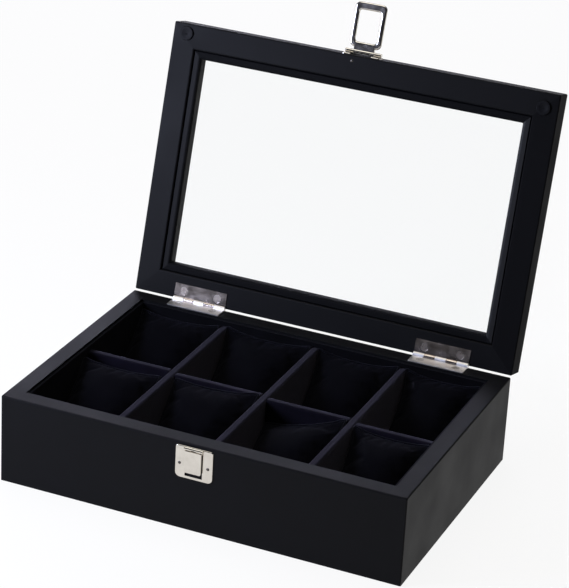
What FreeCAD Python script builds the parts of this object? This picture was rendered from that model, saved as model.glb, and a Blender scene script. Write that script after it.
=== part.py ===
import FreeCAD, Part
import math
import os

V = FreeCAD.Vector

# Watch box with a glazed lid, in millimetres and degrees.
# X runs to the viewer's right, the front faces -Y, Z is up, and the origin is the middle of the
# underside. Lid pieces are drawn closed and then swung open about the hinge line.

# Base shell
box_width = 285.0
box_depth = 193.0
base_height = 62.5
wall = 12.0
edge_round = 1.0
bottom_thick = 3.0
rebate = 6.0  # how far the bottom panel and the felt reach under each wall
felt_thick = 1.0

# Velvet-covered linings and dividers
lining = 2.0
lining_drop = 1.5  # lining tops below the rim
floor_lining_thick = 1.5
divider = 6.0
divider_round = 1.8  # velvet turned over the top edges
divider_drop = 5.0  # divider tops below the rim
divider_play = 0.1
cross_shift = (1.2, 4.8, 4.2)  # each cross divider, off the equal pitch
short_shift = (1.6, -1.8, -5.3, -9.7)  # each column's short divider, off the middle

# Pillows
pillow_side_play = 2.2  # between a pillow's corners and the compartment's sides
pillow_front_gap = 15.0  # between the compartment's front and the lower seam
pillow_seam_drop = 0.5  # upper seam below the divider tops
pillow_thick = 27.0
pillow_waist = 1.8  # how far each side draws in between the corners
seam_thick = 2.0
soft_play = 0.35
# How each pillow lies: forward of the board behind it, and how far its upper left corner slumps
pillow_lie = {
    "front": ((7.0, 0.0), (0.0, 0.0), (3.0, 13.0), (0.0, 0.0)),
    "rear": ((2.0, 0.0), (0.0, 0.0), (0.0, 0.0), (0.0, 0.0)),
}

# Lid frame and window
lid_thick = 16.5
lid_round = 1.0
lid_open = 105.3
rail = 17.5  # frame width on the lid's inner face
rail_edge_round = 1.2
lip_reach = 3.2  # outer lip that the pane lies against
lip_thick = 4.5
glass_thick = 2.0
glass_play = 0.5
bead_reach = 6.0
bead_drop = 1.1  # bead's face below the frame's inner face
bead_groove_width = 0.9
bead_groove_deep = 1.3
bead_round = 2.2
bead_round_steps = 5

# Hinges
hinge_length = 40.0
hinge_from_side = 51.0  # hinge centre to the box's side
hinge_stand = 0.2  # pin line behind the box's rear face
leaf_width = 11.0
leaf_thick = 0.5
leaf_play = 0.2  # between the two leaves of a closed hinge
leaf_corner = 0.4
barrel_radius = 2.0
barrel_play = 0.3
pin_radius = 0.8
pin_play = 0.05
knuckles = 5
knuckle_play = 0.2
hinge_screw_spread = 26.0
hinge_screw_inset = 5.9  # screw centre to the box's rear face
screw_head_radius = 2.9
screw_neck_radius = 1.4
screw_shank_radius = 1.2
screw_length = 8.0
screw_play = 0.05
pilot_play = 0.1
recess_width = 0.9
recess_span = 3.6
recess_deep = 0.35

# Bumper pads on the lid
bumper_radius = 5.0
bumper_side_inset = 10.4  # pad centre to the lid's side
bumper_front_inset = (7.0, 10.5)  # left and right pad centre to the lid's front
bumper_play = 0.1
bumper_round = 0.5
bumper_dish_radius = 3.4
bumper_dish_deep = 0.3

# Catch on the base
latch_x = -2.2
catch_width = 26.4
catch_height = 23.0
catch_drop = 2.2  # plate's top below the rim
catch_thick = 0.9
catch_bottom_round = 3.5
catch_top_round = 1.5
plate_edge_round = 0.7
tongue_width = 11.6
tongue_strip = 0.9
tongue_stand = 3.0  # tongue's face in front of the wall
tongue_bottom_gap = 5.4  # tongue's free end above the plate's lower edge
tongue_top_gap = 2.3  # bend below the plate's upper edge
tongue_slot_play = 0.3  # slot in the plate that the tongue was pressed out of
tongue_slot_drop = 3.4  # slot's lower edge below the tongue's free end
foot_thick = 0.6
lip_roll_radius = 1.1
lip_roll_width = 13.0
lip_roll_drop = 0.8  # roll's centre below the plate's upper edge
lip_scallop_width = 8.0  # hollow along the roll's lower side
lip_scallop_deep = 1.0
nail_head_radius = 1.1
nail_head_high = 0.4
nail_shank_radius = 0.7
nail_length = 8.0
nail_play = 0.1
catch_nail_spread = 20.0
catch_nail_drop = 12.6  # nails below the plate's upper edge

# Hasp on the lid
hasp_width = 27.6
hasp_height = 10.2
hasp_inset = 0.4  # plate's edge from the lid's inner face
hasp_thick = 0.9
hasp_corner = 1.5
hasp_pivot_rise = 6.6  # pivot above the lid's inner face
hasp_pivot_stand = 2.4  # pivot in front of the lid's edge
hasp_barrel_radius = 1.3
hasp_ear_barrel = 5.6
hasp_pin_radius = 0.6
hasp_nail_spread = 21.2
hasp_nail_rise = 2.8
loop_width = 23.4
loop_bar = 3.8
loop_end_bar = 5.4
loop_root_bar = 3.7
loop_thick = 2.0
loop_back = 0.75  # loop's back behind the pivot line
loop_corner = 4.0
loop_window_corner = 1.8
loop_back_round = 1.2
loop_edge_round = 0.4
loop_neck_width = 15.0
loop_neck_length = 3.1  # pivot to the loop's root bar
loop_play = 1.2  # loop's end bar below the tongue's free end
loop_swing = 92.0  # from hanging latched to standing open
keeper_nail_offset = 5.4
keeper_nail_inset = 4.0

# Places worked out from the sizes
half_width = box_width / 2
half_depth = box_depth / 2
inner_half_width = half_width - wall
inner_half_depth = half_depth - wall
bottom_top = felt_thick + bottom_thick
floor_top = bottom_top + floor_lining_thick
lining_top = base_height - lining_drop
divider_top = base_height - divider_drop
cell_side = inner_half_width - lining
cell_end = inner_half_depth - lining
columns = len(short_shift)
cell_pitch = (2 * cell_side + divider) / columns
lid_gap = 2 * leaf_thick + leaf_play
lid_under = base_height + lid_gap
lid_top = lid_under + lid_thick
hinge_y = half_depth + hinge_stand
hinge_z = base_height + lid_gap / 2
glass_outer = lid_top - lip_thick
glass_inner = glass_outer - glass_thick
front_y = -half_depth
catch_top = base_height - catch_drop
catch_bottom = catch_top - catch_height
tongue_bottom = catch_bottom + tongue_bottom_gap
tongue_bend = catch_top - tongue_top_gap
hasp_z = lid_under + hasp_pivot_rise
hasp_y = front_y - hasp_pivot_stand
hasp_notch = loop_neck_width / 2 + knuckle_play
loop_end = hasp_z - tongue_bottom + loop_play
x_axis = V(1, 0, 0)
y_axis = V(0, 1, 0)
z_axis = V(0, 0, 1)
sides = ("front", "rear", "left", "right")


def block(x0, x1, y0, y1, z0, z1):
    return Part.makeBox(x1 - x0, y1 - y0, z1 - z0, V(x0, y0, z0))


def along_x(radius, x0, x1, y, z):
    return Part.makeCylinder(radius, x1 - x0, V(x0, y, z), x_axis)


def cap_ball(radius, high):
    # Radius of the ball whose cap has that radius and height.
    return (radius ** 2 + high ** 2) / (2 * high)


def edges_where(shape, test):
    return [edge for edge in shape.Edges if test(edge.BoundBox)]


def open_lid(shape):
    moved = shape.copy()
    moved.rotate(V(0, hinge_y, hinge_z), x_axis, -lid_open)
    return moved


def mitred_side(ring, side, reach):
    # One side of a frame, cut at 45 degrees through the frame's outer corners.
    swap = side in ("left", "right")
    sign = -1 if side in ("front", "left") else 1
    along = (half_depth if swap else half_width) + 1
    across = (half_width if swap else half_depth) + 1
    inside = across - reach
    outline = [(-along, across), (along, across), (along - reach, inside), (reach - along, inside)]
    corners = [V(v * sign, u, 0) if swap else V(u, v * sign, 0) for u, v in outline]
    face = Part.Face(Part.makePolygon(corners + corners[:1]))
    box = ring.BoundBox
    face.translate(V(0, 0, box.ZMin - 1))
    return ring.common(face.extrude(V(0, 0, box.ZLength + 2))).Solids[0]


# Base shell
def base_ring():
    outer = block(-half_width, half_width, -half_depth, half_depth, 0, base_height)
    kept = edges_where(outer, lambda b: b.ZMax > base_height - 1)
    outer = outer.makeFillet(edge_round, kept)
    x, y = inner_half_width, inner_half_depth
    cavity = block(-x, x, -y, y, 0, base_height + 1)
    seat = block(-x - rebate, x + rebate, -y - rebate, y + rebate, 0, bottom_top)
    return outer.cut(cavity).cut(seat)


def base_panels():
    seat_x = inner_half_width + rebate
    seat_y = inner_half_depth + rebate
    return {
        "base_bottom_panel": block(-seat_x, seat_x, -seat_y, seat_y, felt_thick, bottom_top),
        "underside_felt": block(-seat_x, seat_x, -seat_y, seat_y, 0, felt_thick),
    }


# Velvet linings and dividers
def linings():
    x, y = inner_half_width, inner_half_depth
    low, high = floor_top, lining_top
    return {
        "floor_lining": block(-x, x, -y, y, bottom_top, floor_top),
        "front_lining": block(-x, x, -y, -cell_end, low, high),
        "rear_lining": block(-x, x, cell_end, y, low, high),
        "left_lining": block(-x, -cell_side, -cell_end, cell_end, low, high),
        "right_lining": block(cell_side, x, -cell_end, cell_end, low, high),
    }


def column_sides():
    # Left and right side of each column of compartments.
    first = cell_pitch - cell_side - divider / 2
    middles = [first + cell_pitch * n + shift for n, shift in enumerate(cross_shift)]
    lefts = [-cell_side] + [x + divider / 2 for x in middles]
    rights = [x - divider / 2 for x in middles] + [cell_side]
    return list(zip(lefts, rights))


def divider_board(x0, x1, y0, y1):
    # A covered board, rounded along the top.
    board = block(x0, x1, y0, y1, floor_top, divider_top)
    length = max(x1 - x0, y1 - y0)
    top_edges = edges_where(board, lambda b: b.ZMin > divider_top - 0.01)
    ridges = [edge for edge in top_edges if edge.Length > length - 0.01]
    return board.makeFillet(divider_round, ridges)


def dividers():
    boards = {}
    for n, (left, right) in enumerate(column_sides()):
        y = short_shift[n]
        x0, x1 = left + divider_play, right - divider_play
        boards["divider_short_%d" % (n + 1)] = divider_board(x0, x1, y - divider / 2, y + divider / 2)
        if n:
            boards["divider_cross_%d" % n] = divider_board(left - divider, left, -cell_end, cell_end)
    return boards


# Pillows: two sewn panels each, leaning back from the floor to the board behind
def pillow(left, right, back, forward, slump):
    run = cell_end - divider / 2 - pillow_front_gap
    rise = divider_top - pillow_seam_drop - floor_top - seam_thick
    lean = math.atan2(rise, run)
    up = V(0, -math.sin(lean), math.cos(lean))
    wires = []
    for s in (0, 0.06, 0.2, 0.5, 0.8, 0.94, 1):
        swell = math.sin(math.pi * s)
        half = (right - left) / 2 - pillow_side_play - pillow_waist * swell
        crown = up * (seam_thick / 2 + (pillow_thick - seam_thick) / 2 * swell ** 0.75)
        middle = V((left + right) / 2, s * run, s * rise)
        high = middle + x_axis * half
        low = middle - x_axis * half - z_axis * (slump * s * s)
        middle = (high + low) / 2
        over = Part.Arc(low, middle + crown, high).toShape()
        under = Part.Arc(high, middle - crown, low).toShape()
        wires.append(Part.Wire([over, under]))
    shape = Part.makeLoft(wires, True, False)
    box = shape.optimalBoundingBox()
    shape.translate(V(0, back - forward - soft_play - box.YMax, floor_top + soft_play - box.ZMin))
    return shape


def pillows():
    made = {}
    for n, (left, right) in enumerate(column_sides()):
        backs = {"front": short_shift[n] - divider / 2, "rear": cell_end}
        for row, back in backs.items():
            forward, slump = pillow_lie[row][n]
            made["pillow_%s_%d" % (row, n + 1)] = pillow(left, right, back, forward, slump)
    return made


# Lid frame and window, drawn closed
def lid_ring():
    outer = block(-half_width, half_width, -half_depth, half_depth, lid_under, lid_top)
    outer = outer.makeFillet(lid_round, outer.Edges)
    x, y = half_width - rail, half_depth - rail
    pocket = block(-x, x, -y, y, lid_under - 1, glass_outer)
    window = block(lip_reach - x, x - lip_reach, lip_reach - y, y - lip_reach, lid_under, lid_top + 1)
    ring = outer.cut(pocket).cut(window)
    mouth = edges_where(ring, lambda b: b.ZMax < lid_under + 0.01 and max(-b.XMin, b.XMax) < x + 0.01
                        and max(-b.YMin, b.YMax) < y + 0.01)
    return ring.makeFillet(rail_edge_round, mouth)


def glass_pane():
    x = half_width - rail - glass_play
    y = half_depth - rail - glass_play
    return block(-x, x, -y, y, glass_inner, glass_outer)


def bead(side):
    # Profile as (distance in from the pocket's wall, height above the lid's inner face), carried
    # along one side of the pocket with mitred ends.
    deep = glass_inner - lid_under
    profile = [(0, bead_drop + bead_groove_deep), (bead_groove_width, bead_drop)]
    for n in range(bead_round_steps + 1):
        turn = math.pi / 2 * n / bead_round_steps
        reach = bead_reach - bead_round * (1 - math.sin(turn))
        profile.append((reach, bead_drop + bead_round * (1 - math.cos(turn))))
    profile += [(bead_reach, deep), (0, deep)]
    swap = side in ("left", "right")
    sign = -1 if side in ("front", "left") else 1
    along = half_depth - rail if swap else half_width - rail
    across = half_width - rail if swap else half_depth - rail

    def outline(end):
        places = [(end * (along - s), sign * (across - s), lid_under + h) for s, h in profile]
        return [V(v, u, z) if swap else V(u, v, z) for u, v, z in places]

    starts, ends = outline(-1), outline(1)
    outlines = [starts, ends]
    for n in range(len(profile)):
        m = (n + 1) % len(profile)
        outlines.append([starts[n], ends[n], ends[m], starts[m]])
    faces = [Part.Face(Part.makePolygon(line + line[:1])) for line in outlines]
    solid = Part.makeSolid(Part.makeShell(faces))
    if solid.Volume < 0:
        solid.reverse()
    return solid


def bumper_pads():
    pads = []
    for side, inset in zip((-1, 1), bumper_front_inset):
        place = V(side * (half_width - bumper_side_inset), front_y + inset, lid_under)
        pad = Part.makeCylinder(bumper_radius, lid_gap - bumper_play, place, -z_axis)
        rim = edges_where(pad, lambda b: b.ZMax < base_height + bumper_play + 0.01)
        pad = pad.makeFillet(bumper_round, rim)
        ball = cap_ball(bumper_dish_radius, bumper_dish_deep)
        middle = V(place.x, place.y, base_height + bumper_play + bumper_dish_deep - ball)
        pads.append(pad.cut(Part.makeSphere(ball, middle)))
    return pads


# Hinges, drawn closed
def hinge_places():
    return {"left": hinge_from_side - half_width, "right": half_width - hinge_from_side}


def hinge_leaf(x, own, low, high, face, inward):
    # own is the first knuckle of this leaf, face its open side and inward the way its screws go.
    edge = hinge_y - barrel_radius - barrel_play
    free = half_depth - leaf_width
    x0, x1 = x - hinge_length / 2, x + hinge_length / 2
    leaf = block(x0, x1, free, edge, low, high)
    corners = edges_where(leaf, lambda b: b.ZLength > leaf_thick / 2 and b.YMax < free + 1)
    leaf = leaf.makeFillet(leaf_corner, corners)
    step = hinge_length / knuckles
    for n in range(own, knuckles, 2):
        k0 = x0 + n * step + (knuckle_play / 2 if n else 0)
        k1 = x0 + (n + 1) * step - (knuckle_play / 2 if n < knuckles - 1 else 0)
        leaf = leaf.fuse(along_x(barrel_radius, k0, k1, hinge_y, hinge_z))
        leaf = leaf.fuse(block(k0, k1, edge - barrel_radius, hinge_y, low, high))
    leaf = leaf.cut(along_x(pin_radius + pin_play, x0 - 1, x1 + 1, hinge_y, hinge_z))
    for place in screw_places(x, face):
        sink = Part.makeCone(screw_head_radius, screw_neck_radius, leaf_thick, place, z_axis * inward)
        leaf = leaf.cut(sink)
    return leaf.removeSplitter().Solids[0]


def hinge_pin(x):
    return along_x(pin_radius, x - hinge_length / 2, x + hinge_length / 2, hinge_y, hinge_z)


def barrel_notch(x):
    reach = hinge_length / 2 + barrel_play
    return along_x(barrel_radius + barrel_play, x - reach, x + reach, hinge_y, hinge_z)


def screw_places(x, face):
    y = half_depth - hinge_screw_inset
    return [V(x + side * hinge_screw_spread / 2, y, face) for side in (-1, 1)]


def screw(place, inward):
    way = z_axis * inward
    top, neck = screw_head_radius - screw_play, screw_neck_radius - screw_play
    radius = screw_shank_radius
    head = Part.makeCone(top, neck, leaf_thick, place, way)
    shank = Part.makeCylinder(radius, screw_length, place, way)
    tip = Part.makeCone(radius, radius / 4, screw_length / 4, place + way * screw_length, way)
    whole = head.fuse(shank).fuse(tip)
    long_half, short_half = recess_span / 2, recess_width / 2
    for half_x, half_y in ((long_half, short_half), (short_half, long_half)):
        slot = block(-half_x, half_x, -half_y, half_y, -recess_deep, recess_deep)
        slot.translate(place)
        whole = whole.cut(slot)
    return whole.removeSplitter().Solids[0]


def screw_hole(place, inward):
    deep = screw_length * 1.25 + pilot_play
    return Part.makeCylinder(screw_shank_radius + pilot_play, deep, place, z_axis * inward)


# Nails: a low domed head on the plate and a plain shank
def nail(place, way):
    shank = Part.makeCylinder(nail_shank_radius, nail_length, place, way)
    ball = cap_ball(nail_head_radius, nail_head_high)
    dome = Part.makeSphere(ball, place + way * (ball - nail_head_high))
    dome = dome.common(Part.makeCylinder(nail_head_radius + 1, nail_head_high + 1, place, -way))
    return dome.fuse(shank).removeSplitter().Solids[0]


def nail_hole(place, way):
    return Part.makeCylinder(nail_shank_radius + nail_play, nail_length + nail_play, place, way)


def catch_nail_places():
    z = catch_top - catch_nail_drop
    return [V(latch_x + side * catch_nail_spread / 2, front_y - catch_thick, z) for side in (-1, 1)]


def hasp_nail_places():
    z = lid_under + hasp_nail_rise
    return [V(latch_x + side * hasp_nail_spread / 2, front_y - hasp_thick, z) for side in (-1, 1)]


# Catch on the base's front
def catch_plate():
    half = catch_width / 2
    face = front_y - catch_thick
    plate = block(latch_x - half, latch_x + half, face, front_y, catch_bottom, catch_top)
    low = edges_where(plate, lambda b: b.YLength > catch_thick / 2 and b.ZMax < catch_bottom + 1)
    plate = plate.makeFillet(catch_bottom_round, low)
    high = edges_where(plate, lambda b: b.YLength > catch_thick / 2 and b.ZMin > catch_top - 1)
    plate = plate.makeFillet(catch_top_round, high)
    plate = plate.makeFillet(plate_edge_round, edges_where(plate, lambda b: b.YMax < face + 0.01))
    half = tongue_width / 2 + tongue_slot_play
    low = tongue_bottom - tongue_slot_drop
    high = tongue_bend - tongue_strip - foot_thick
    plate = plate.cut(block(latch_x - half, latch_x + half, face, front_y, low, high))
    for place in catch_nail_places():
        plate = plate.cut(nail_hole(place, y_axis))
    return plate.Solids[0]


def catch_tongue():
    # A sprung strip bent off a foot on the plate, free at its lower end, with a rolled lip on top.
    x0, x1 = latch_x - tongue_width / 2, latch_x + tongue_width / 2
    back = front_y - catch_thick
    face = front_y - tongue_stand
    roll_y = back - lip_roll_radius
    roll_z = catch_top - lip_roll_drop
    foot = block(x0, x1, back - foot_thick, back, tongue_bend - tongue_strip, roll_z)
    strip = block(x0, x1, face, face + tongue_strip, tongue_bottom, tongue_bend)
    ends = edges_where(strip, lambda b: b.YLength > tongue_strip / 2 and b.ZMax < tongue_bottom + 1)
    strip = strip.makeFillet(tongue_strip, ends)
    web = block(x0, x1, face, back, tongue_bend - tongue_strip, tongue_bend)
    half = lip_roll_width / 2
    roll = along_x(lip_roll_radius, latch_x - half, latch_x + half, roll_y, roll_z)
    ball = cap_ball(lip_scallop_width / 2, lip_scallop_deep)
    hollow_z = roll_z - lip_roll_radius + lip_scallop_deep - ball
    hollow = V(latch_x, back - foot_thick, hollow_z)
    roll = roll.cut(Part.makeCylinder(ball, 2 * lip_roll_radius, hollow, -y_axis))
    return foot.fuse(strip).fuse(web).fuse(roll).removeSplitter().Solids[0]


# Hasp on the lid's front edge, drawn closed and latched
def hasp_plate():
    half = hasp_width / 2
    low = lid_under + hasp_inset
    face = front_y - hasp_thick
    plate = block(latch_x - half, latch_x + half, face, front_y, low, low + hasp_height)
    corners = edges_where(plate, lambda b: b.YLength > hasp_thick / 2)
    plate = plate.makeFillet(hasp_corner, corners)
    plate = plate.makeFillet(plate_edge_round, edges_where(plate, lambda b: b.YMax < face + 0.01))
    arm_half = hasp_barrel_radius / 2
    for x0 in (latch_x - hasp_notch - hasp_ear_barrel, latch_x + hasp_notch):
        x1 = x0 + hasp_ear_barrel
        plate = plate.fuse(along_x(hasp_barrel_radius, x0, x1, hasp_y, hasp_z))
        plate = plate.fuse(block(x0, x1, hasp_y, front_y, hasp_z - arm_half, hasp_z + arm_half))
    x0, x1 = latch_x - hasp_notch, latch_x + hasp_notch
    notch_top = hasp_z + hasp_barrel_radius + barrel_play
    plate = plate.cut(block(x0, x1, hasp_y, front_y, low - 1, notch_top))
    plate = plate.cut(along_x(hasp_pin_radius + pin_play, x0 - half, x1 + half, hasp_y, hasp_z))
    for place in hasp_nail_places():
        plate = plate.cut(nail_hole(place, y_axis))
    return plate.removeSplitter().Solids[0]


def hasp_pin():
    reach = hasp_notch + hasp_ear_barrel
    return along_x(hasp_pin_radius, latch_x - reach, latch_x + reach, hasp_y, hasp_z)


def hasp_loop():
    # A frame with a rounded back, which is the side that shows when the lid is open.
    y1 = hasp_y + loop_back
    y0 = y1 - loop_thick
    half = loop_width / 2
    inner = half - loop_bar
    root = hasp_z - loop_neck_length
    window_bottom = hasp_z - loop_end
    frame = block(latch_x - half, latch_x + half, y0, y1, window_bottom - loop_end_bar, root)
    frame = frame.makeFillet(loop_corner, edges_where(frame, lambda b: b.YLength > loop_thick / 2))
    window = block(latch_x - inner, latch_x + inner, y0, y1, window_bottom, root - loop_root_bar)
    corners = edges_where(window, lambda b: b.YLength > loop_thick / 2)
    frame = frame.cut(window.makeFillet(loop_window_corner, corners))
    frame = frame.makeFillet(loop_back_round, edges_where(frame, lambda b: b.YMin > y1 - 0.01))
    frame = frame.makeFillet(loop_edge_round, edges_where(frame, lambda b: b.YMax < y0 + 0.01))
    x0, x1 = latch_x - loop_neck_width / 2, latch_x + loop_neck_width / 2
    frame = frame.fuse(block(x0, x1, y0, y1, root - loop_root_bar / 2, hasp_z))
    frame = frame.fuse(along_x(hasp_barrel_radius, x0, x1, hasp_y, hasp_z))
    frame = frame.cut(along_x(hasp_pin_radius + pin_play, x0 - 1, x1 + 1, hasp_y, hasp_z))
    return frame.removeSplitter().Solids[0]


def base_nodes():
    nodes = {}
    face = base_height + leaf_thick
    places = [place for x in hinge_places().values() for place in screw_places(x, face)]
    nails = catch_nail_places()
    for side, x in hinge_places().items():
        nodes["hinge_%s_base_leaf" % side] = hinge_leaf(x, 0, base_height, face, face, -1)
        nodes["hinge_%s_pin" % side] = hinge_pin(x)
    nodes["hinge_base_screws"] = Part.makeCompound([screw(place, -1) for place in places])
    nodes["catch_plate"] = catch_plate()
    nodes["catch_tongue"] = catch_tongue()
    nodes["catch_nails"] = Part.makeCompound([nail(place, y_axis) for place in nails])
    holes = [screw_hole(place, -1) for place in places] + [nail_hole(place, y_axis) for place in nails]
    ring = base_ring().cut(Part.makeCompound(holes))
    for x in hinge_places().values():
        ring = ring.cut(barrel_notch(x))
    for side in sides:
        nodes["base_%s_wall" % side] = mitred_side(ring, side, wall + 2)
    for group in (base_panels(), linings(), dividers(), pillows()):
        nodes.update(group)
    return nodes


def lid_nodes():
    nodes = {}
    face = lid_under - leaf_thick
    places = [place for x in hinge_places().values() for place in screw_places(x, face)]
    nails = hasp_nail_places()
    keeper = V(latch_x - keeper_nail_offset, front_y + keeper_nail_inset, lid_under)
    for side, x in hinge_places().items():
        nodes["hinge_%s_lid_leaf" % side] = hinge_leaf(x, 1, face, lid_under, face, 1)
    nodes["hinge_lid_screws"] = Part.makeCompound([screw(place, 1) for place in places])
    nodes["hasp_plate"] = hasp_plate()
    nodes["hasp_pin"] = hasp_pin()
    nodes["hasp_nails"] = Part.makeCompound([nail(place, y_axis) for place in nails] + [nail(keeper, z_axis)])
    nodes["hasp_loop"] = hasp_loop()
    nodes["hasp_loop"].rotate(V(0, hasp_y, hasp_z), x_axis, -loop_swing)
    holes = [screw_hole(place, 1) for place in places] + [nail_hole(place, y_axis) for place in nails]
    ring = lid_ring().cut(Part.makeCompound(holes + [nail_hole(keeper, z_axis)]))
    for x in hinge_places().values():
        ring = ring.cut(barrel_notch(x))
    for side in sides:
        kind = "stile" if side in ("left", "right") else "rail"
        nodes["lid_%s_%s" % (side, kind)] = mitred_side(ring, side, rail + lip_reach + 2)
        nodes["bead_%s" % side] = bead(side)
    nodes["glass_pane"] = glass_pane()
    nodes["lid_bumpers"] = Part.makeCompound(bumper_pads())
    return {name: open_lid(shape) for name, shape in nodes.items()}


os.makedirs("parts", exist_ok=True)
for nodes in (base_nodes(), lid_nodes()):
    for name, shape in nodes.items():
        shape.exportStep("parts/%s.step" % name)
        print(name, len(shape.Solids), round(shape.Volume, 1), shape.isValid())
pivot = open_lid(Part.Vertex(V(latch_x, hasp_y, hasp_z))).Point
print("hinge line y z", hinge_y, hinge_z, "hasp pivot", pivot)
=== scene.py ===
import math

import bpy
import numpy as np
from mathutils import Matrix, Vector


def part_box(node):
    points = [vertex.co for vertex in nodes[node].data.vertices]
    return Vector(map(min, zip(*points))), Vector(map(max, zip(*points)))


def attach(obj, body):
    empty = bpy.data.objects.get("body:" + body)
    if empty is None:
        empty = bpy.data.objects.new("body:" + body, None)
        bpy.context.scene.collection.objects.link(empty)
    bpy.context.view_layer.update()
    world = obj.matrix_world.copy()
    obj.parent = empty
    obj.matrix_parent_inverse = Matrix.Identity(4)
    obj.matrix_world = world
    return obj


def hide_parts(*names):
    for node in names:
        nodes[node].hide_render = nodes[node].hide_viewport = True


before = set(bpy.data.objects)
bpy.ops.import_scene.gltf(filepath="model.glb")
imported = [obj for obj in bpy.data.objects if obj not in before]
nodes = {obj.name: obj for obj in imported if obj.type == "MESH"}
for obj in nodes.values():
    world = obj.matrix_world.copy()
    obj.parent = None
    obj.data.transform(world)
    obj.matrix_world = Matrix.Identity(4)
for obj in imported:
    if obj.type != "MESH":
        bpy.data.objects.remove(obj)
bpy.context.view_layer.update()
scene = bpy.context.scene
mm = 0.001
noiseLow, noiseHigh = 0.3, 0.7  # most of a noise texture's values lie between these
print("frame loaded:", len(nodes), "nodes")


def linear(hexColour):
    # sRGB hex to the linear colour that a socket takes
    parts = [int(hexColour[n:n + 2], 16) / 255 for n in (1, 3, 5)]
    return [p / 12.92 if p <= 0.04045 else ((p + 0.055) / 1.055) ** 2.4 for p in parts] + [1.0]


def addNode(tree, kind, inputs=(), **settings):
    # one node: settings are its own options, and an input takes a value or another node's socket
    node = tree.nodes.new(kind)
    for name, value in settings.items():
        setattr(node, name, value)
    for name, value in dict(inputs).items():
        if isinstance(value, bpy.types.NodeSocket):
            tree.links.new(value, node.inputs[name])
        else:
            node.inputs[name].default_value = value
    return node


def newMaterial(name):
    material = bpy.data.materials.new(name)
    material.use_nodes = True
    material.node_tree.nodes.clear()
    return material, material.node_tree


def perSize(sizeMm):
    # texture scale for a feature of that size
    return 1 / (sizeMm * mm)


# Satin black lacquer, sprayed on jointed boards: nearly black and slightly blue, with a low sheen that
# lifts at a shallow angle, a fine orange peel, and the grain just telegraphing along each board. Copies
# for the lid's stiles and beads raise or lower the sheen as painted light and shade: a painted highlight
# on the left stile and on the left and right beads, and painted shade on the right stile and on the
# front and rear beads.
lacquer = {
    "dark": "#0f0f10", "light": "#131315",
    "roughness": (0.45, 0.54), "specular": 0.068,
    "grainMm": 1.4, "grainStretch": 40, "grainDeep": 0.010,
    "peelMm": 2.4, "peelDeep": 0.006, "blotchMm": 38,
}
# Lit and shaded copies: the sheen is raised for a painted highlight and lowered for painted shade
shadedBeadLacquer = {**lacquer, "roughness": (0.55, 0.65), "specular": 0.03}
litLeftBeadLacquer = {**lacquer, "specular": 0.09}
litRightBeadLacquer = {**lacquer, "specular": 0.22}
litLeftStileLacquer = {**lacquer, "specular": 0.088}
shadedRightStileLacquer = {**lacquer, "roughness": (0.62, 0.72), "specular": 0.036}


def lacquerMaterial(name, along, look=lacquer):
    # along is the board's long direction; the mapping turns it onto X, where the grain is stretched
    material, tree = newMaterial(name)
    turn = Vector(along).rotation_difference(Vector((1, 0, 0))).to_euler()
    place = addNode(tree, "ShaderNodeTexCoord").outputs["Object"]
    turned = addNode(tree, "ShaderNodeMapping", {"Vector": place, "Rotation": turn})
    stretched = addNode(tree, "ShaderNodeMapping", {
        "Vector": turned.outputs[0], "Scale": (1 / look["grainStretch"], 1, 1)})
    grain = addNode(tree, "ShaderNodeTexNoise", {
        "Vector": stretched.outputs[0], "Scale": perSize(look["grainMm"]), "Detail": 3.0})
    peel = addNode(tree, "ShaderNodeTexNoise", {
        "Vector": place, "Scale": perSize(look["peelMm"]), "Detail": 1.0})
    blotch = addNode(tree, "ShaderNodeTexNoise", {
        "Vector": place, "Scale": perSize(look["blotchMm"]), "Detail": 2.0})
    colour = addNode(tree, "ShaderNodeMix", {
        0: blotch.outputs["Fac"], 6: linear(look["dark"]), 7: linear(look["light"])}, data_type="RGBA")
    low, high = look["roughness"]
    rough = addNode(tree, "ShaderNodeMapRange", {
        "Value": blotch.outputs["Fac"], "From Min": noiseLow, "From Max": noiseHigh,
        "To Min": low, "To Max": high})
    grainBump = addNode(tree, "ShaderNodeBump", {
        "Height": grain.outputs["Fac"], "Distance": look["grainDeep"] * mm, "Strength": 1.0})
    peelBump = addNode(tree, "ShaderNodeBump", {
        "Height": peel.outputs["Fac"], "Distance": look["peelDeep"] * mm, "Strength": 1.0,
        "Normal": grainBump.outputs[0]})
    skin = addNode(tree, "ShaderNodeBsdfPrincipled", {
        "Base Color": colour.outputs[2], "Roughness": rough.outputs[0],
        "Specular IOR Level": look["specular"], "Normal": peelBump.outputs[0]})
    addNode(tree, "ShaderNodeOutputMaterial", {"Surface": skin.outputs[0]})
    return material


# Cotton velvet over boards, linings, piping and wadding: a short dense pile that swallows light face on
# and turns lavender grey along edges, brushed into soft patches. The four looks are one velvet made
# lighter or darker as painted light and shade: the dividers are lightened, and the divider tops and the
# piping carry a painted sheen where they catch the light, while the linings and the pillows deep in the
# compartments are darkened as painted shade. Real pile is 0.2 mm; it is drawn at 0.7 mm to show.
velvetLooks = {
    "velvetOnBoardLit": {
        "dark": "#06050c", "light": "#0d0b16", "sheen": 0.46, "tint": "#b0abbb", "napMm": 14},
    "velvetOnLiningShaded": {
        "dark": "#070709", "light": "#0c0c10", "sheen": 0.12, "tint": "#a0a0ae", "napMm": 14},
    "velvetPipingLit": {
        "dark": "#050508", "light": "#0c0c12", "sheen": 0.34, "tint": "#a3a3b4", "napMm": 14},
    "velvetOnWaddingShaded": {
        "dark": "#020205", "light": "#050509", "sheen": 0.034, "tint": "#8f8fae", "napMm": 18},
}
velvetPile = {
    "pileMm": 0.7, "pileDeep": 0.10, "pileGrit": 0.65, "napTwist": 0.6, "brushed": (0.12, 0.40),
    "roughness": 0.95, "specular": 0.05, "sheenRoughness": 0.38,
}


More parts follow.
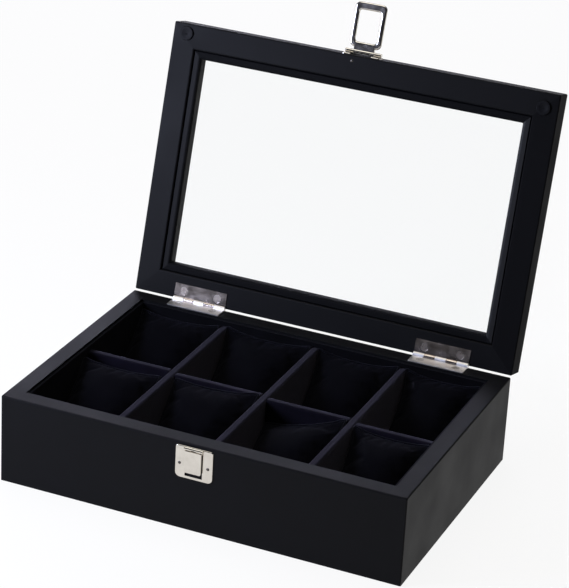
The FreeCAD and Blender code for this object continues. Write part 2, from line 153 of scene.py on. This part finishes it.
def velvetMaterial(name):
    look = {**velvetPile, **velvetLooks[name]}
    material, tree = newMaterial(name)
    place = addNode(tree, "ShaderNodeTexCoord").outputs["Object"]
    nap = addNode(tree, "ShaderNodeTexNoise", {
        "Vector": place, "Scale": perSize(look["napMm"]), "Detail": 3.0, "Distortion": look["napTwist"]})
    pile = addNode(tree, "ShaderNodeTexNoise", {
        "Vector": place, "Scale": perSize(look["pileMm"]), "Detail": 2.0, "Roughness": look["pileGrit"]})
    mixed = addNode(tree, "ShaderNodeMath", {
        0: nap.outputs["Fac"], 1: pile.outputs["Fac"]}, operation="MULTIPLY")
    low, high = look["brushed"]
    spread = addNode(tree, "ShaderNodeMapRange", {
        "Value": mixed.outputs[0], "From Min": low, "From Max": high})
    colour = addNode(tree, "ShaderNodeMix", {
        0: spread.outputs[0], 6: linear(look["dark"]), 7: linear(look["light"])}, data_type="RGBA")
    bump = addNode(tree, "ShaderNodeBump", {
        "Height": pile.outputs["Fac"], "Distance": look["pileDeep"] * mm, "Strength": 0.8})
    cloth = addNode(tree, "ShaderNodeBsdfPrincipled", {
        "Base Color": colour.outputs[2], "Roughness": look["roughness"],
        "Specular IOR Level": look["specular"], "Sheen Weight": look["sheen"],
        "Sheen Roughness": look["sheenRoughness"], "Sheen Tint": linear(look["tint"]),
        "Normal": bump.outputs[0]})
    addNode(tree, "ShaderNodeOutputMaterial", {"Surface": cloth.outputs[0]})
    return material


# Nickel-plated pressed steel: warm white mirror, a little dulled by handling and tumbled smooth, with
# hair scratches. The hasp is polished, the hinges' base leaves and screws are brushed, and the lid's
# screws are tumbled duller. The base leaves are also lightened as a painted highlight, and the nail
# heads are darkened as painted shade of the gap round them. The scratches are drawn 0.25 mm wide to show.
steelLooks = {
    "nickelPlatedSteel": {"bright": "#ded9d1", "dull": "#c9c3ba", "roughness": (0.10, 0.24)},
    "polishedNickel": {"bright": "#dfdbd4", "dull": "#cfc9c1", "roughness": (0.08, 0.18)},
    "nickelPlatedLeaf": {"bright": "#d5cac2", "dull": "#b7aca4", "roughness": (0.15, 0.28)},
    # lightened as a painted highlight
    "brushedLeafLit": {"bright": "#f2f0ef", "dull": "#dedad8", "roughness": (0.34, 0.48)},
    "brushedScrewSteel": {"bright": "#dcd9d6", "dull": "#b9b5b1", "roughness": (0.30, 0.42)},
    "tumbledScrewSteel": {"bright": "#d4c9c0", "dull": "#aea399", "roughness": (0.24, 0.34)},
    # darkened as painted shade of the gap round the nail heads
    "shadedNailSteel": {"bright": "#6b6763", "dull": "#4b4845", "roughness": (0.30, 0.42)},
}
steelMarks = {
    "scratchMm": 0.25, "scratchStretch": 30, "scratchDeep": 0.0008, "scratchTurn": (0.1, 0.2, 0.15),
    "cloudMm": 6,
}


def steelMaterial(name):
    look = steelLooks[name]
    material, tree = newMaterial(name)
    place = addNode(tree, "ShaderNodeTexCoord").outputs["Object"]
    cloud = addNode(tree, "ShaderNodeTexNoise", {
        "Vector": place, "Scale": perSize(steelMarks["cloudMm"]), "Detail": 4.0})
    stretched = addNode(tree, "ShaderNodeMapping", {
        "Vector": place, "Scale": (1 / steelMarks["scratchStretch"], 1, 1),
        "Rotation": steelMarks["scratchTurn"]})
    scratch = addNode(tree, "ShaderNodeTexNoise", {
        "Vector": stretched.outputs[0], "Scale": perSize(steelMarks["scratchMm"]), "Detail": 2.0})
    colour = addNode(tree, "ShaderNodeMix", {
        0: cloud.outputs["Fac"], 6: linear(look["bright"]), 7: linear(look["dull"])}, data_type="RGBA")
    low, high = look["roughness"]
    rough = addNode(tree, "ShaderNodeMapRange", {
        "Value": cloud.outputs["Fac"], "From Min": noiseLow, "From Max": noiseHigh,
        "To Min": low, "To Max": high})
    bump = addNode(tree, "ShaderNodeBump", {
        "Height": scratch.outputs["Fac"], "Distance": steelMarks["scratchDeep"] * mm, "Strength": 1.0})
    metal = addNode(tree, "ShaderNodeBsdfPrincipled", {
        "Base Color": colour.outputs[2], "Metallic": 1.0, "Roughness": rough.outputs[0],
        "Normal": bump.outputs[0]})
    addNode(tree, "ShaderNodeOutputMaterial", {"Surface": metal.outputs[0]})
    return material


# Float glass, 2 mm, bloomed against glare: clear and flat, with a weak mirror. Lamps reach through it.
glassLook = {"tint": "#feffff", "clear": "#fdfefe", "bend": 1.3}


def glassMaterial(name):
    material, tree = newMaterial(name)
    rays = addNode(tree, "ShaderNodeLightPath")
    pane = addNode(tree, "ShaderNodeBsdfPrincipled", {
        "Base Color": linear(glassLook["tint"]), "Roughness": 0.0, "IOR": glassLook["bend"],
        "Transmission Weight": 1.0})
    clear = addNode(tree, "ShaderNodeBsdfTransparent", {"Color": linear(glassLook["clear"])})
    through = addNode(tree, "ShaderNodeMixShader", {
        0: rays.outputs["Is Shadow Ray"], 1: pane.outputs[0], 2: clear.outputs[0]})
    addNode(tree, "ShaderNodeOutputMaterial", {"Surface": through.outputs[0]})
    return material


# Pressed wool felt under the base, moulded rubber for the bumpers and bare hardboard for the bottom:
# each a dark, fully matt surface with its own speckle.
mattLooks = {
    "pressedFelt": {"dark": "#0c0c0d", "light": "#1d1d1f", "speckMm": 0.8, "deep": 0.15,
                    "roughness": 0.98, "specular": 0.1},
    "mouldedRubber": {"dark": "#0c0c0e", "light": "#111114", "speckMm": 0.5, "deep": 0.01,
                      "roughness": 0.5, "specular": 0.08},
    "hardboard": {"dark": "#3d2a1c", "light": "#5a4230", "speckMm": 1.2, "deep": 0.05,
                  "roughness": 0.9, "specular": 0.2},
}


def mattMaterial(name):
    look = mattLooks[name]
    material, tree = newMaterial(name)
    place = addNode(tree, "ShaderNodeTexCoord").outputs["Object"]
    speck = addNode(tree, "ShaderNodeTexNoise", {
        "Vector": place, "Scale": perSize(look["speckMm"]), "Detail": 3.0})
    colour = addNode(tree, "ShaderNodeMix", {
        0: speck.outputs["Fac"], 6: linear(look["dark"]), 7: linear(look["light"])}, data_type="RGBA")
    bump = addNode(tree, "ShaderNodeBump", {
        "Height": speck.outputs["Fac"], "Distance": look["deep"] * mm, "Strength": 0.8})
    surface = addNode(tree, "ShaderNodeBsdfPrincipled", {
        "Base Color": colour.outputs[2], "Roughness": look["roughness"],
        "Specular IOR Level": look["specular"], "Normal": bump.outputs[0]})
    addNode(tree, "ShaderNodeOutputMaterial", {"Surface": surface.outputs[0]})
    return material


# Finish of every CAD node; a later line overrules an earlier one
lidOpen = math.radians(105.3)
upTheLid = (0, -math.cos(lidOpen), math.sin(lidOpen))
acrossLacquer = lacquerMaterial("satinLacquerAcross", (1, 0, 0))
deepLacquer = lacquerMaterial("satinLacquerDeep", (0, 1, 0))
# Piping lightened by a painted sheen, pillows darkened as painted shade
litPipingVelvet = velvetMaterial("velvetPipingLit")
shadedPillowVelvet = velvetMaterial("velvetOnWaddingShaded")
finishes = (
    (acrossLacquer, ("base_front_wall", "base_rear_wall", "lid_front_rail", "lid_rear_rail")),
    (deepLacquer, ("base_left_wall", "base_right_wall")),
    (lacquerMaterial("satinLacquerLeftStileLit", upTheLid, litLeftStileLacquer), ("lid_left_stile",)),
    (lacquerMaterial("satinLacquerRightStileShaded", upTheLid, shadedRightStileLacquer), ("lid_right_stile",)),
    (lacquerMaterial("beadLacquerAcrossShaded", (1, 0, 0), shadedBeadLacquer), ("bead_front", "bead_rear")),
    (lacquerMaterial("beadLacquerLeftLit", upTheLid, litLeftBeadLacquer), ("bead_left",)),
    (lacquerMaterial("beadLacquerRightLit", upTheLid, litRightBeadLacquer), ("bead_right",)),
    (velvetMaterial("velvetOnBoardLit"), ("divider_",)),
    (velvetMaterial("velvetOnLiningShaded"), (
        "floor_lining", "front_lining", "rear_lining", "left_lining", "right_lining")),
    (steelMaterial("nickelPlatedSteel"), ("hinge_", "catch_", "hasp_")),
    (steelMaterial("polishedNickel"), ("hasp_loop", "hasp_plate", "hasp_pin")),
    (steelMaterial("nickelPlatedLeaf"), ("hinge_left", "hinge_right")),
    (steelMaterial("brushedLeafLit"), ("hinge_left_base_leaf", "hinge_right_base_leaf")),
    (steelMaterial("brushedScrewSteel"), ("hinge_base_screws",)),
    (steelMaterial("tumbledScrewSteel"), ("hinge_lid_screws",)),
    (steelMaterial("shadedNailSteel"), ("catch_nails", "hasp_nails")),
    (glassMaterial("floatGlass"), ("glass_pane",)),
    (mattMaterial("pressedFelt"), ("underside_felt",)),
    (mattMaterial("mouldedRubber"), ("lid_bumpers",)),
    (mattMaterial("hardboard"), ("base_bottom_panel",)),
)
for material, starts in finishes:
    for name, node in nodes.items():
        if name.startswith(starts):
            if not node.material_slots:
                node.data.materials.append(material)
            for slot in node.material_slots:
                slot.material = material
print("finishes given")

# Pillows: two velvet panels sewn together all round and stuffed with wadding. Each leans back from the
# floor of its compartment to the board behind, and its corners are pinched to ears by the seams.
pillowCut = {
    "run": 64.5, "rise": 49.4,  # lower seam to upper seam, back and up, mm
    "thick": 23.0, "waist": 1.8, "sag": 2.2,
    "pucker": 0.5, "puckerMm": 7.0, "puckerAlongMm": 9.0, "puckerFade": 6.0, "puckerSkew": 0.8,
    "across": 34, "along": 40,  # panel divisions
    "frames": 20, "moveCap": 3.2, "simScale": 10,  # the cloth moves at ten times its size
    "seamRadius": 0.75, "seamSides": 8, "fill": 0.7,
    "backGap": 0.6, "floorGap": 0.4, "sideRoom": 1.6, "topFree": 0.5,  # against the solid's box, mm
    # upper left corner's slump, and how far the left and right ear go out, back and up, mm
    "lie": {
        "pillow_front_1": (0.0, (0.5, 0, 1.0), (0.5, 0, 0.5)),
        "pillow_front_2": (0.0, (0.5, 0, 0.0), (1.2, 2.6, 2.2)),
        "pillow_front_3": (13.0, (0.0, 0, 0.0), (1.5, 2.8, 2.4)),
        "pillow_front_4": (0.0, (1.8, 0, 1.8), (0.5, 0, 0.5)),
        "pillow_rear_1": (0.0, (0.5, 0, 1.5), (3.2, 0, 2.2)),
        "pillow_rear_2": (0.0, (3.2, 0, 2.2), (3.0, 0, 2.0)),
        "pillow_rear_3": (0.0, (2.6, 0, 1.8), (3.2, 0, 2.4)),
        "pillow_rear_4": (0.0, (3.2, 0, 2.4), (0.5, 0, 1.5)),
    },
}


def pillowPanels(name):
    # Points of the upper and the lower panel over u (-1 to 1, across) and v (0 to 1, lower to upper seam).
    # The seam plane rises along (0, run, rise). Its width draws in by waist sin(pi v), its upper edge sags
    # by sag (1 - u^2) v^6 and its left side drops by slump v^2 (1 - u) / 2. The ear on side s goes out by
    # (s u)^5 v^9, and one that leans back does so by (0.35 + 0.65 s u)^1.5 v^12. Each panel bulges by
    # thick / 2 (1 - |u|^2.4)^0.7 sin(pi v)^0.65, with puckers that fade away from the seam.
    cut = pillowCut
    slump, leftEar, rightEar = cut["lie"][name]
    low, high = (np.array(corner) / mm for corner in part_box(name))
    middle, half = (low[0] + high[0]) / 2, (high[0] - low[0]) / 2
    v, u = np.meshgrid(
        np.linspace(0, 1, cut["along"] + 1), np.linspace(-1, 1, cut["across"] + 1), indexing="ij")
    swell = np.sin(np.pi * v)
    lean = math.atan2(cut["rise"], cut["run"])
    x = middle + u * (half - cut["waist"] * swell)
    y = cut["run"] * v
    z = cut["rise"] * v - cut["sag"] * (1 - u ** 2) * v ** 6 - slump * v ** 2 * (1 - u) / 2
    for side, (out, back, rise) in ((-1, leftEar), (1, rightEar)):
        pinch = np.clip(side * u, 0, 1) ** 5 * v ** 9
        wide = np.clip(0.35 + 0.65 * side * u, 0, 1) ** 1.5 * v ** 12
        x = x + side * out * pinch
        y = y + back * wide
        z = z + rise * (pinch if back == 0 else wide)
    bulge = np.clip(1 - np.abs(u) ** 2.4, 0, 1) ** 0.7 * np.clip(swell, 0, 1) ** 0.65
    edge = np.clip(1 - np.abs(u), 0, 1) * half
    end = np.minimum(v, 1 - v) * math.hypot(cut["run"], cut["rise"])
    near = np.exp(-np.minimum(edge, end) / cut["puckerFade"]) * bulge ** 0.5
    phase = sum(map(ord, name)) % 7  # puckers differ from pillow to pillow
    ripple = (np.sin((x + cut["puckerSkew"] * end) * 2 * np.pi / cut["puckerMm"] + phase)
              * np.cos(y * 2 * np.pi / cut["puckerAlongMm"] + phase))
    lift = cut["thick"] / 2 * bulge + cut["pucker"] * near * ripple
    panels = [np.stack([x, y - way * lift * math.sin(lean), z + way * lift * math.cos(lean)], -1)
              for way in (1, -1)]
    both = np.concatenate([panel.reshape(-1, 3) for panel in panels])
    toBack = high[1] - cut["backGap"] - both[:, 1].max() + max(leftEar[1], rightEar[1])
    toFloor = low[2] + cut["floorGap"] - both[:, 2].min()
    return [panel + (0, toBack, toFloor) for panel in panels]


def pillowMesh(name, panels):
    # the two panels as grids of quads that share the seam's points
    rows, columns = panels[0].shape[:2]
    upper = np.arange(rows * columns).reshape(rows, columns)
    lower = upper.copy()
    inside = lower[1:-1, 1:-1]
    inside[:] = rows * columns + np.arange(inside.size).reshape(inside.shape)
    points = np.concatenate([panels[0].reshape(-1, 3), panels[1][1:-1, 1:-1].reshape(-1, 3)])

    def quads(index):
        corners = [index[:-1, :-1], index[:-1, 1:], index[1:, 1:], index[1:, :-1]]
        return np.stack(corners, -1).reshape(-1, 4)

    faces = np.concatenate([quads(upper), quads(lower)[:, ::-1]])
    mesh = bpy.data.meshes.new(name)
    mesh.from_pydata(points.tolist(), [], faces.tolist())
    loop = np.concatenate([upper[0, :-1], upper[:-1, -1], upper[-1, :0:-1], upper[:0:-1, 0]])
    return mesh, loop


def meshPoints(mesh):
    points = np.empty(len(mesh.vertices) * 3)
    mesh.vertices.foreach_get("co", points)
    return points.reshape(-1, 3)


# Stuffed velvet: the panels are cut a little loose, and the wadding presses them out
wadding = {
    "quality": 6, "mass": 0.3, "tension_stiffness": 25, "compression_stiffness": 25,
    "shear_stiffness": 12, "bending_stiffness": 0.6, "vertex_group_mass": "seam",
    "shrink_min": -0.035, "use_pressure": True, "uniform_pressure_force": 2.2,
}


def addCloth(pillow, seam):
    # the seam is held, and gravity and contact are left out
    held = pillow.vertex_groups.new(name="seam")
    held.add([int(n) for n in seam], 1.0, "REPLACE")
    cloth = pillow.modifiers.new("wadding", "CLOTH")
    for name, value in wadding.items():
        setattr(cloth.settings, name, value)
    cloth.settings.effector_weights.gravity = 0
    cloth.collision_settings.use_collision = False
    cloth.point_cache.frame_end = pillowCut["frames"]


def seamTube(points, radius, sides):
    # A tube round the closed line, which is smoothed by weights 1, 4 and 1. The point at angle t of a ring
    # is line + radius (cos t out + sin t over), where out points outwards and over = along x out.
    line = (np.roll(points, 1, 0) + 4 * points + np.roll(points, -1, 0)) / 6
    along = np.roll(line, -1, 0) - np.roll(line, 1, 0)
    along /= np.linalg.norm(along, axis=1)[:, None]
    out = line - line.mean(0)
    out -= (out * along).sum(1)[:, None] * along
    out /= np.linalg.norm(out, axis=1)[:, None]
    over = np.cross(along, out)
    turn = np.linspace(0, 2 * np.pi, sides, endpoint=False)[None, :, None]
    rings = line[:, None] + radius * (np.cos(turn) * out[:, None] + np.sin(turn) * over[:, None])
    index = np.arange(len(line) * sides).reshape(len(line), sides)
    beside = np.roll(index, -1, 1)
    faces = np.stack([index, beside, np.roll(beside, -1, 0), np.roll(index, -1, 0)], -1)
    return rings.reshape(-1, 3), faces.reshape(-1, 4)


def newPiece(name, mesh, material):
    piece = bpy.data.objects.new(name, mesh)
    scene.collection.objects.link(piece)
    mesh.materials.append(material)
    mesh.polygons.foreach_set("use_smooth", [True] * len(mesh.polygons))
    return piece


pillowPieces = {}
for name in pillowCut["lie"]:
    mesh, seam = pillowMesh(name.replace("pillow", "stuffed"), pillowPanels(name))
    pillowPieces[name] = newPiece(mesh.name, mesh, shadedPillowVelvet), seam, meshPoints(mesh)
toScene = mm * pillowCut["simScale"]
for pillow, seam, start in pillowPieces.values():
    pillow.data.vertices.foreach_set("co", (start * toScene).ravel())
    addCloth(pillow, seam)
for frameNumber in range(1, pillowCut["frames"] + 1):
    scene.frame_set(frameNumber)
graph = bpy.context.evaluated_depsgraph_get()
settled = {name: meshPoints(pillow.evaluated_get(graph).data) / toScene
           for name, (pillow, seam, start) in pillowPieces.items()}
for name, (pillow, seam, start) in pillowPieces.items():
    pillow.modifiers.clear()
    pillow.vertex_groups.clear()
    move = settled[name] - start
    far = np.linalg.norm(move, axis=1)[:, None]
    print("wadding moved", name, "by up to", round(float(far.max()), 2), "mm")
    start += move * (pillowCut["moveCap"] / np.maximum(far, pillowCut["moveCap"]))
scene.frame_set(1)
for name, (pillow, seam, points) in pillowPieces.items():
    # flat only where it rests: on the floor lining, the board behind and the boards beside it
    low, high = (np.array(corner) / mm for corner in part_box(name))
    under = points[:, 2] < high[2] - pillowCut["topFree"]
    room = pillowCut["sideRoom"]
    points[:, 2] = np.maximum(points[:, 2], low[2])
    points[under, 1] = np.minimum(points[under, 1], high[1])
    points[under, 0] = np.clip(points[under, 0], low[0] - room, high[0] + room)
    pillow.data.vertices.foreach_set("co", (points * mm).ravel())
    pillow.data.update()
    smooth = pillow.modifiers.new("smooth", "SUBSURF")
    smooth.levels = smooth.render_levels = 1
    rings, faces = seamTube(points[seam], pillowCut["seamRadius"], pillowCut["seamSides"])
    tube = bpy.data.meshes.new(name + "_seam")
    tube.from_pydata((rings * mm).tolist(), [], faces.tolist())
    piping = newPiece(name + "_seam", tube, litPipingVelvet)
    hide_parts(name)
    for piece in (pillow, piping):
        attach(piece, name)
print("pillows stuffed and sewn:", len(pillowPieces))

# Camera, fitted to the photograph's edges, in degrees and mm; it sees as far as 50 m
cameraFit = {"azimuth": 22.451, "elevation": 24.409, "roll": 3.226, "distance": 1698.515,
             "target": (13.34, 0.0, 132.993), "lens": 159.606, "sensor": 36.0, "seesTo": 50}
azimuth, elevation, roll = (math.radians(cameraFit[k]) for k in ("azimuth", "elevation", "roll"))
back = Vector((math.sin(azimuth) * math.cos(elevation), -math.cos(azimuth) * math.cos(elevation),
               math.sin(elevation)))
right = Vector((math.cos(azimuth), math.sin(azimuth), 0))
up = back.cross(right)
rolledRight = right * math.cos(roll) + up * math.sin(roll)
rolledUp = up * math.cos(roll) - right * math.sin(roll)
lens = bpy.data.cameras.new("photoCamera")
lens.lens = cameraFit["lens"]
lens.sensor_width = cameraFit["sensor"]
lens.clip_end = cameraFit["seesTo"]
camera = bpy.data.objects.new("photoCamera", lens)
scene.collection.objects.link(camera)
turn = Matrix((rolledRight, rolledUp, back)).transposed().to_4x4()
spot = (Vector(cameraFit["target"]) + back * cameraFit["distance"]) * mm
camera.matrix_world = Matrix.Translation(spot) @ turn
scene.camera = camera
print("camera placed")

# Studio: a pale floor, three soft lamps and a surround that brightens towards the back
studio = {
    "floorSize": 8.0, "floorColour": "#fafafa", "floorGlow": "#ffffff", "shadowShare": 0.10,
    "surround": {
        "towards": (-0.2, 0.9, 0.35), "power": 1.5, "dim": 0.02, "bright": 0.34, "colour": "#f4f2ff"},
    "lamps": (
        # name, place, aims at, width and height in metres, watts, colour, and whether it is mirrored:
        # the back panel isn't, because it would hide the compartments in the shut lid's pane
        ("overheadPanel", (-0.3, 0.3, 1.9), (0, 0, 0.05), (1.8, 1.6), 16, "#fffdf4", True),
        ("leftPanel", (-0.58, -0.48, 0.39), (-0.05, 0.05, 0.14), (0.3, 0.3), 8.2, "#d9e1ff", True),
        ("backPanel", (-0.84, 1.5, 0.85), (0, 0, 0.05), (0.9, 0.7), 8.6, "#e5e6ff", False),
    ),
}


def floorMesh(size):
    # one flat square face, at the object's underside
    half = size / 2
    corners = [(-half, -half, 0), (half, -half, 0), (half, half, 0), (-half, half, 0)]
    mesh = bpy.data.meshes.new("floor")
    mesh.from_pydata(corners, [], [(0, 1, 2, 3)])
    return mesh


def seenRays(tree):
    # 1 for a ray from the camera, from metal or through glass
    rays = addNode(tree, "ShaderNodeLightPath")
    first = addNode(tree, "ShaderNodeMath", {
        0: rays.outputs["Is Camera Ray"], 1: rays.outputs["Is Glossy Ray"]}, operation="MAXIMUM")
    return addNode(tree, "ShaderNodeMath", {
        0: first.outputs[0], 1: rays.outputs["Is Transmission Ray"]}, operation="MAXIMUM").outputs[0]


floor = bpy.data.objects.new("floor", floorMesh(studio["floorSize"]))
scene.collection.objects.link(floor)
# Matt background paper, exposed to white, so that only a weak shadow is seen on it
floorPaper, tree = newMaterial("matteFloorPaper")
paper = addNode(tree, "ShaderNodeBsdfDiffuse", {"Color": linear(studio["floorColour"])})
white = addNode(tree, "ShaderNodeEmission", {"Color": linear(studio["floorGlow"]), "Strength": 1.0})
share = addNode(tree, "ShaderNodeMath", {
    0: seenRays(tree), 1: 1 - studio["shadowShare"]}, operation="MULTIPLY")
both = addNode(tree, "ShaderNodeMixShader", {
    0: share.outputs[0], 1: paper.outputs[0], 2: white.outputs[0]})
addNode(tree, "ShaderNodeOutputMaterial", {"Surface": both.outputs[0]})
floor.data.materials.append(floorPaper)

world = bpy.data.worlds.new("studioSurround")
scene.world = world
world.use_nodes = True
tree = world.node_tree
tree.nodes.clear()
around = studio["surround"]
look = addNode(tree, "ShaderNodeTexCoord").outputs["Generated"]
facing = addNode(tree, "ShaderNodeVectorMath", {
    0: look, 1: Vector(around["towards"]).normalized()}, operation="DOT_PRODUCT")
ahead = addNode(tree, "ShaderNodeMath", {0: facing.outputs["Value"], 1: 0.0}, operation="MAXIMUM")
lobe = addNode(tree, "ShaderNodeMath", {0: ahead.outputs[0], 1: around["power"]}, operation="POWER")
strength = addNode(tree, "ShaderNodeMapRange", {
    "Value": lobe.outputs[0], "To Min": around["dim"], "To Max": around["bright"]})
surround = addNode(tree, "ShaderNodeBackground", {
    "Color": linear(around["colour"]), "Strength": strength.outputs[0]})
addNode(tree, "ShaderNodeOutputWorld", {"Surface": surround.outputs[0]})

for name, place, aim, size, watts, colour, mirrored in studio["lamps"]:
    lamp = bpy.data.lights.new(name, "AREA")
    lamp.shape = "RECTANGLE"
    lamp.size, lamp.size_y = size
    lamp.energy = watts
    lamp.color = linear(colour)[:3]
    lamp.cycles.use_multiple_importance_sampling = mirrored
    holder = bpy.data.objects.new(name, lamp)
    holder.location = place
    holder.rotation_euler = (Vector(place) - Vector(aim)).to_track_quat("Z", "Y").to_euler()
    holder.visible_camera = False
    scene.collection.objects.link(holder)
scene.view_settings.view_transform = "Standard"
print("studio lit")
